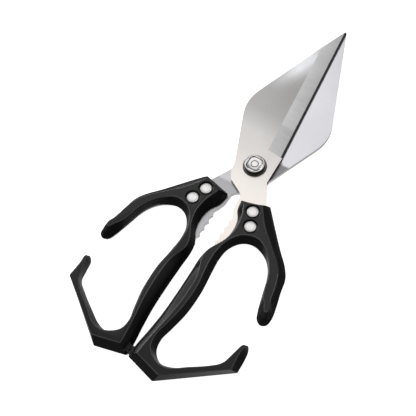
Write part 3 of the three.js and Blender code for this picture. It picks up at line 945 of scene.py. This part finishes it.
rivet_steel = polished("rivet_steel", (0.42, 0.415, 0.41, 1), (0.66, 0.65, 0.64, 1), 0.28)
for side, (body, tang) in SIDES.items():
    for end, place in zip(("upper", "lower"), RIVET_PLACES):
        for half, make in (("barrel", make_barrel), ("pin", make_pin)):
            name = f"{side}_{end}_rivet_{half}"
            piece = make(name + "_look", place)
            place_on_side(piece, side)
            shade_by_angle(piece, 35)
            piece.data.materials.append(rivet_steel)
            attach(piece, body)
            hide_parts(name)

# ---- Pivot ---------------------------------------------------------------------------------
# A bright steel barrel nut passes down through washer and blades, and a slotted screw closes it
# from the rear over a blued spring washer. The nut's rim is finely knurled and its top has a
# shallow cushion-shaped recess.

NUT_RADIUS = 6.2
NUT_HEAD = 1.8
NUT_WEB = 1.2
NUT_ROUND = [(0.05, 0.35), (0.18, 0.14), (0.4, 0.0)]  # in from the rim, below the top
KNURLS = 60
KNURL_DEEP = 0.12
RECESS = {"half": 4.55, "slope": 0.55, "corner": 0.62, "deep": 0.4}
MARK_RING = {"outer": 2.45, "inner": 1.85, "deep": 0.2}
WASHER = {"radius": 7.2, "thick": 0.7, "tooth": 0.3, "chamfer": 0.12}
SPRING = {"radius": 7.0, "thick": 0.3, "wave": 0.12, "chamfer": 0.05}
SCREW_RADIUS = 1.6
SCREW_HEAD = 1.2
SLOT = {"width": 1.2, "deep": 0.6}

washer_top = PLATE_HIGH + GAP + WASHER["thick"]
nut_under = washer_top + GAP
nut_top = nut_under + NUT_HEAD
recess_floor = nut_top - RECESS["deep"]
spring_bottom = -PLATE_HIGH - GAP - SPRING["thick"]
screw_under = spring_bottom - GAP
screw_bottom = screw_under - SCREW_HEAD


def make_washer(name, outer, inner, low, high, chamfer, wave=0.0, tooth=0.0):
    """A chamfered ring, which may be waved like a spring or toothed round its rim."""
    sides = 144
    waves = 3
    profile = [(inner, low + chamfer), (inner + chamfer, low), (outer - chamfer, low),
               (outer, low + chamfer), (outer, high - chamfer), (outer - chamfer, high),
               (inner + chamfer, high), (inner, high - chamfer)]
    verts, faces = [], []
    for k in range(sides):
        angle = 2 * math.pi * k / sides
        lift = wave * math.sin(waves * angle)
        bite = tooth if k % 2 else 0.0
        for r, z in profile:
            r -= bite if r > (outer + inner) / 2 else 0.0
            verts.append((r * math.cos(angle), r * math.sin(angle), z + lift))
    count = len(profile)
    for k in range(sides):
        for i in range(count):
            j = (i + 1) % count
            a, b = k * count, (k + 1) % sides * count
            faces.append((a + i, b + i, b + j, a + j))
    return object_of(name, verts, faces)


def knurled_ring(radius, z, deep=0.0):
    """A ring of points, with every second one set in where the rim is knurled."""
    ring = []
    for k in range(2 * KNURLS):
        angle = math.pi * k / KNURLS
        r = radius - (deep if k % 2 else 0.0)
        ring.append((r * math.cos(angle), r * math.sin(angle), z))
    return ring


def cushion(half, z):
    """A square of this half width with generous corners."""
    corner = half * RECESS["corner"]
    return [(p.x, p.y, z) for p in rounded(
        [(x * half, y * half, corner) for x, y in ((1, 1), (-1, 1), (-1, -1), (1, -1))])]


def make_nut(name):
    thread = SCREW_RADIUS + GAP
    barrel_end = screw_under + GAP
    rings = [knurled_ring(radius, z) for radius, z in (
        (AXIS, nut_top - NUT_WEB), (thread, nut_top - NUT_WEB), (thread, barrel_end),
        (PIVOT_BARREL_RADIUS, barrel_end), (PIVOT_BARREL_RADIUS, nut_under),
        (NUT_RADIUS - 0.25, nut_under))]
    rings += [knurled_ring(NUT_RADIUS, z, KNURL_DEEP) for z in (nut_under + 0.15, nut_top - 0.55)]
    rings += [knurled_ring(NUT_RADIUS - inward, nut_top - below) for inward, below in NUT_ROUND]
    rings.append(knurled_ring(AXIS, nut_top))
    nut = stacked(name, rings)
    half = RECESS["half"]
    recess = stacked("recess", [cushion(half - RECESS["slope"], recess_floor), cushion(half, nut_top),
                                cushion(half + 1, nut_top + 1)])
    ring = make_washer("ring", MARK_RING["outer"], MARK_RING["inner"], recess_floor - MARK_RING["deep"],
                       recess_floor + MARK_RING["deep"], 0.01)
    return cut(nut, recess, ring)


def make_screw(name):
    profile = [(AXIS, screw_bottom), (NUT_RADIUS - 0.4, screw_bottom),
               (NUT_RADIUS - 0.1, screw_bottom + 0.15), (NUT_RADIUS, screw_bottom + 0.4),
               (NUT_RADIUS, screw_under), (SCREW_RADIUS, screw_under), (SCREW_RADIUS, nut_under),
               (AXIS, nut_under)]
    half = SLOT["width"] / 2
    slot = brick("slot", (-2 * NUT_RADIUS, -half, screw_bottom - 1),
                 (2 * NUT_RADIUS, half, screw_bottom + SLOT["deep"]))
    return cut(turned(name, profile), slot)


bright_steel = polished("bright_steel_look", (0.50, 0.495, 0.49, 1), (0.68, 0.67, 0.66, 1), 0.24)
spring_blue = polished("spring_blue", (0.20, 0.20, 0.22, 1), (0.30, 0.29, 0.30, 1), 0.35)
# Painted shade: near black steel for the knurled rim, the recess walls, the ring groove and the front
# washer, where shade lies round the bright top.
painted_shade_steel = polished("painted_shade_steel", (0.10, 0.10, 0.10, 1), (0.16, 0.155, 0.15, 1), 0.30)


def paint_nut(nut):
    """Painted shade: the knurled rim, the walls of the recess and the ring are painted dark round the
    bright top.
    """
    nut.data.materials.append(bright_steel)
    nut.data.materials.append(painted_shade_steel)
    for polygon in nut.data.polygons:
        height = (polygon.center.z - pivot.z) / MM
        rim = abs(polygon.normal.z) < 0.5 and nut_under < height < nut_top - 0.4
        recess_wall = abs(polygon.normal.z) < 0.95 and recess_floor < height < nut_top - 0.15
        in_ring = nut_top - 1 < height < recess_floor - 0.05
        if rim or recess_wall or in_ring:
            polygon.material_index = 1


bore = PIVOT_BARREL_RADIUS + GAP
clearance = 0.02
pivot_nut = make_nut("pivot_nut_look")
paint_nut(pivot_nut)
pivot_screw = make_screw("pivot_screw_look")
pivot_screw.data.materials.append(bright_steel)
front_washer = make_washer("front_washer_look", WASHER["radius"], bore, PLATE_HIGH + clearance,
                           washer_top + clearance, WASHER["chamfer"], tooth=WASHER["tooth"])
# Painted shade: the front washer is dark as the shaded ring under the nut.
front_washer.data.materials.append(painted_shade_steel)
rear_spring_washer = make_washer("rear_spring_washer_look", SPRING["radius"], bore, spring_bottom,
                                 -PLATE_HIGH - GAP, SPRING["chamfer"], wave=SPRING["wave"])
rear_spring_washer.data.materials.append(spring_blue)

PIVOT_PIECES = {
    "pivot_nut": (pivot_nut, "bright_steel"),
    "pivot_screw": (pivot_screw, "bright_steel"),
    "front_washer": (front_washer, "blade_steel"),
    "rear_spring_washer": (rear_spring_washer, "spring_steel"),
}
for name, (piece, slot_name) in PIVOT_PIECES.items():
    shade_by_angle(piece, 35)
    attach(piece, "front_half")
    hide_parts(name)
